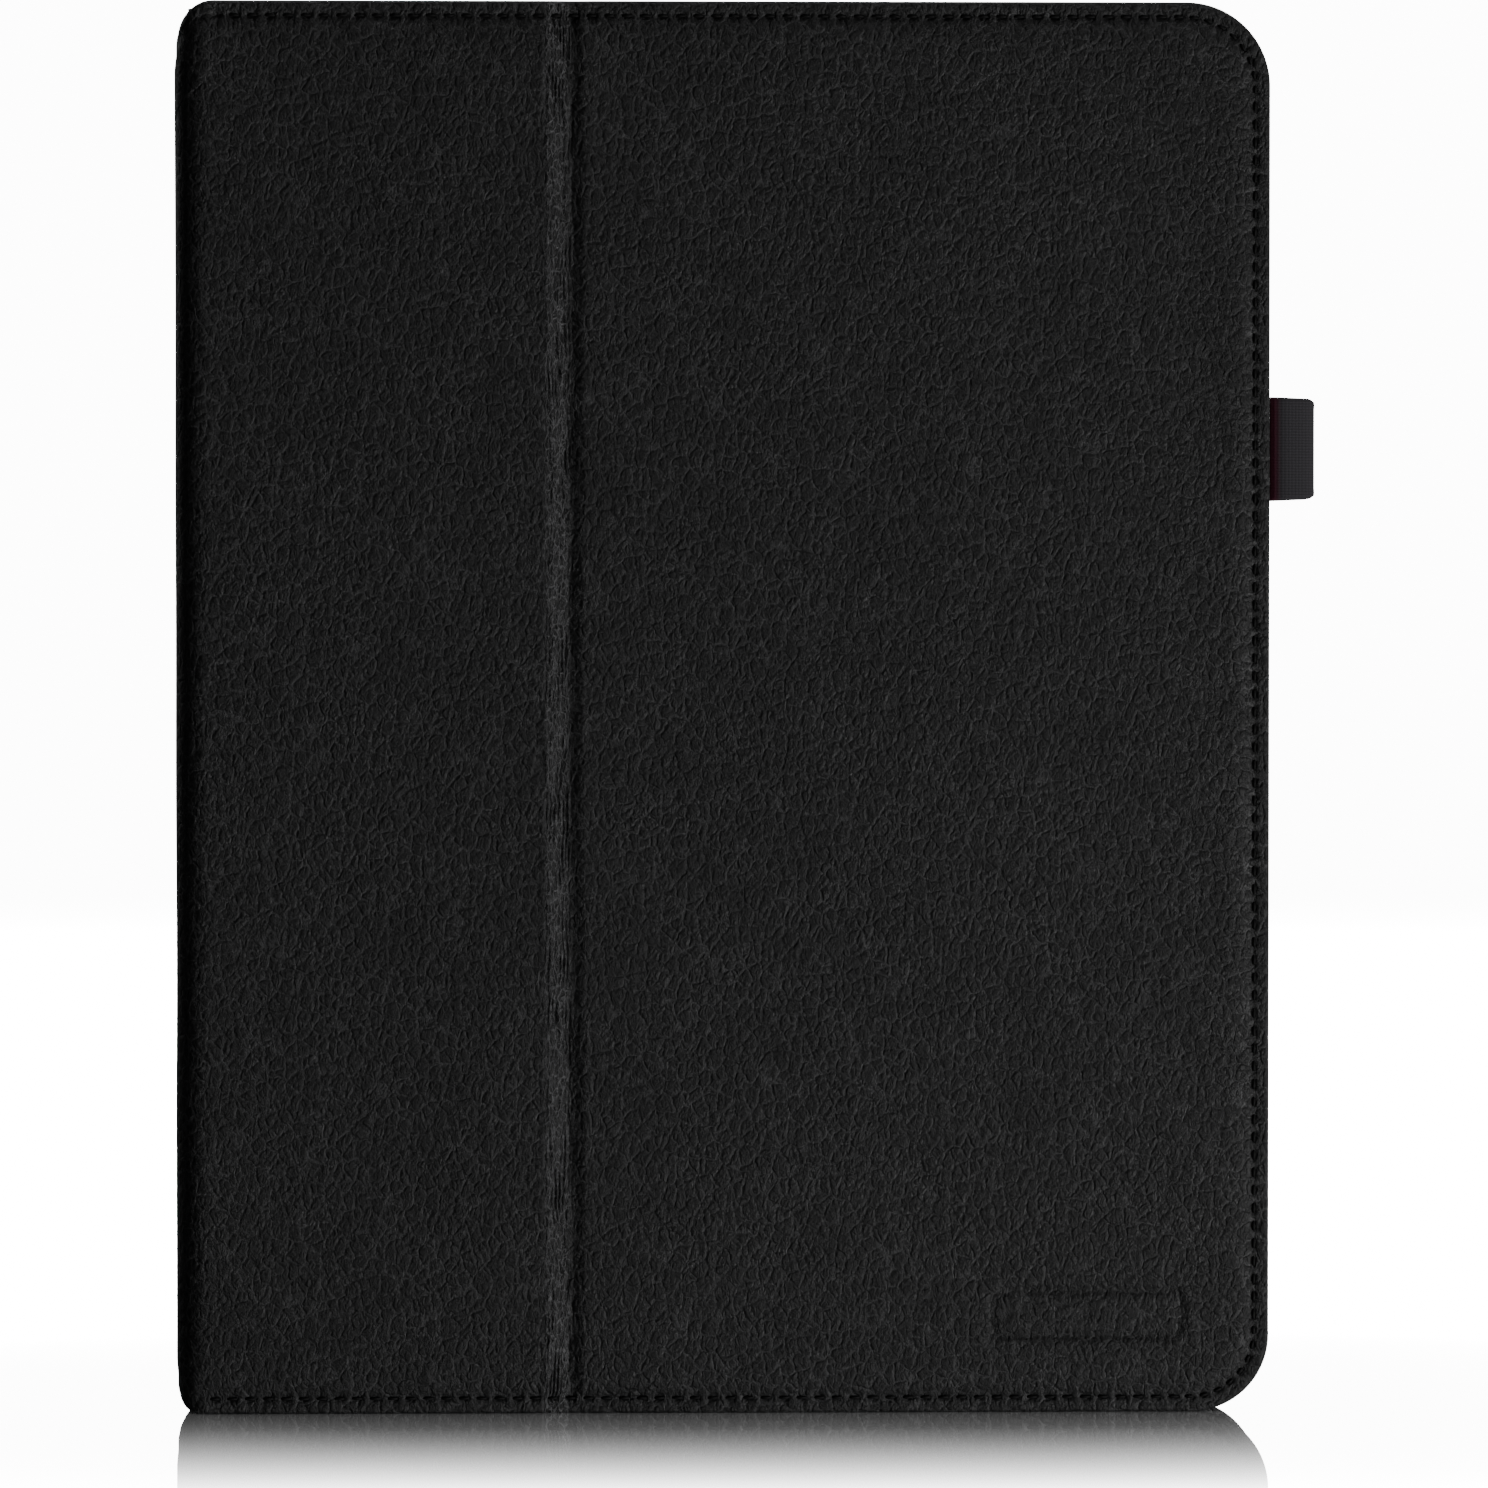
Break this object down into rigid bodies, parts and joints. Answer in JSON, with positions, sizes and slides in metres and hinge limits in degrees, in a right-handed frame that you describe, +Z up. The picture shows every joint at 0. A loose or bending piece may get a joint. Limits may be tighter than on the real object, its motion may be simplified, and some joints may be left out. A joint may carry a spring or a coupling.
{
  "type": "tablet case",
  "caption": "Folio case with a sleeve for a tablet, a front cover that folds at a crease into a stand, a strip on the back that holds its edge, and a stylus loop.",
  "frame": {"origin": "centre of the case's footprint, on the surface that it stands on, stylus loop and tuck strip included", "axes": "+X from the spine to the free edge with the stylus loop, +Y from the front cover to the back cover, +Z up along the spine"},
  "size_m": [0.2034, 0.0216, 0.25],
  "materials": {
    "leather": "pebbled black leather, semi-matt",
    "microfibre": "short-napped black microfibre",
    "foam": "thin padding foam",
    "board": "grey bookbinding board",
    "stiffener": "matt plastic sheet",
    "magnet": "nickel-plated",
    "elastic": "ribbed black elastic webbing",
    "thread": "twisted black polyester thread"
  },
  "bodies": {
    "back_cover": {"back_leather": "leather", "back_foam": "foam", "back_board": "board", "back_lining": "microfibre", "back_hem_thread": "thread", "tuck_strip": "leather", "tuck_strip_thread": "thread", "gusset_top": "leather", "gusset_bottom": "leather", "gusset_free_side": "leather", "gusset_corner_top": "leather", "gusset_corner_bottom": "leather", "retaining_flap": "leather", "bezel_leather": "leather", "bezel_thread": "thread", "bezel_stiffener": "stiffener", "bezel_backing": "microfibre", "holder_magnet_lower": "magnet", "holder_magnet_upper": "magnet", "stylus_loop": "elastic"},
    "spine": {"spine_leather": "leather", "spine_board": "board", "spine_lining": "microfibre", "back_fold_leather": "leather", "back_fold_lining": "microfibre"},
    "narrow_panel": {"narrow_panel_leather": "leather", "narrow_panel_foam": "foam", "narrow_panel_board": "board", "narrow_panel_lining": "microfibre", "narrow_panel_thread_bottom": "thread", "narrow_panel_thread_top": "thread", "front_fold_leather": "leather", "front_fold_lining": "microfibre"},
    "wide_panel": {"wide_panel_leather": "leather", "wide_panel_foam": "foam", "wide_panel_board": "board", "wide_panel_lining": "microfibre", "wide_panel_thread": "thread", "closure_magnet_lower": "magnet", "closure_magnet_upper": "magnet", "sleep_magnet": "magnet", "crease_leather": "leather", "crease_lining": "microfibre"}
  },
  "joints": [
    {"name": "spine_hinge", "type": "hinge", "parent": "back_cover", "child": "spine", "pos_m": [-0.10006, 0.00786, 0.125], "axis": [0, 0, -1], "range_deg": [0, 203], "deforming": ["back_fold_leather", "back_fold_lining"]},
    {"name": "cover_hinge", "type": "hinge", "parent": "spine", "child": "narrow_panel", "pos_m": [-0.10006, -0.00916, 0.125], "axis": [0, 0, -1], "range_deg": [0, 90], "deforming": ["front_fold_leather", "front_fold_lining"]},
    {"name": "crease_hinge", "type": "hinge", "parent": "narrow_panel", "child": "wide_panel", "pos_m": [-0.0323, -0.0095, 0.125], "axis": [0, 0, -1], "range_deg": [0, 104.2], "deforming": ["crease_leather", "crease_lining"]}
  ]
}
